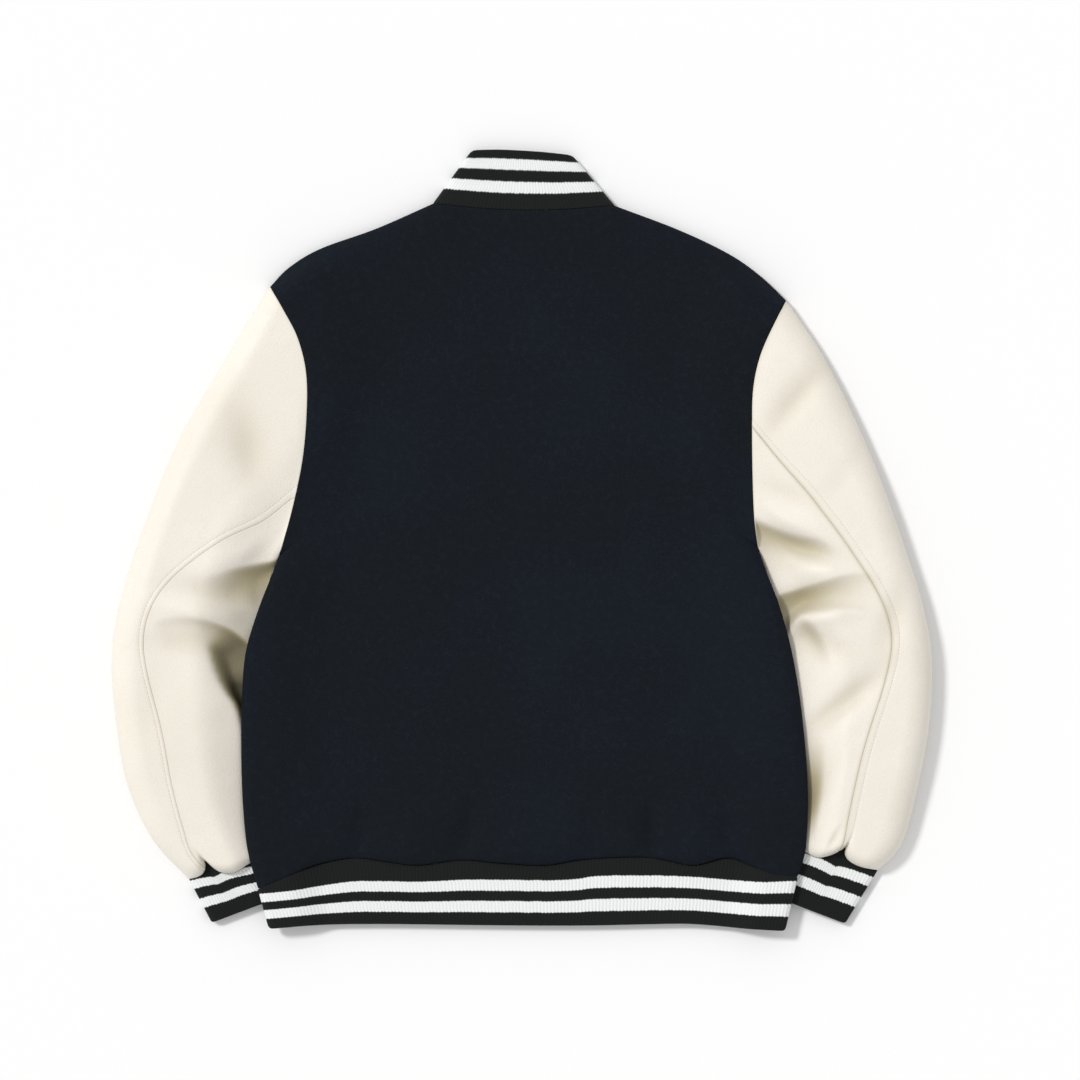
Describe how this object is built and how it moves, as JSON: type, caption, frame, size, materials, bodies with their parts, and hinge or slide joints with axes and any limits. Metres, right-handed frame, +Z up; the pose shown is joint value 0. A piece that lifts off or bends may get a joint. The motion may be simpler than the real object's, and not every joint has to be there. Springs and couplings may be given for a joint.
{
  "type": "varsity jacket",
  "caption": "Snap-front varsity jacket laid flat on its front, with a wool body, leather sleeves and striped rib collar, cuffs and hem.",
  "frame": {"origin": "middle of the flat jacket's outline, on the surface that it lies on", "axes": "+Z up from the surface to the jacket's back, +Y towards the collar, +X towards the wearer's right sleeve"},
  "size_m": [0.7881, 0.7509, 0.0382],
  "materials": {
    "wool": "matte brushed wool melton",
    "leather": "smooth satin",
    "rib": "rib knit with two white stripes",
    "snap": "satin"
  },
  "bodies": {
    "root": {"back": "wool", "front_left": "wool", "front_right": "wool", "sleeve_left_upper": "leather", "sleeve_left_under": "leather", "sleeve_right_upper": "leather", "sleeve_right_under": "leather", "collar": "rib", "hem": "rib", "cuff_left": "rib", "cuff_right": "rib", "snap_1": "snap", "snap_2": "snap", "snap_3": "snap", "snap_4": "snap", "snap_5": "snap", "snap_6": "snap"}
  },
  "joints": []
}
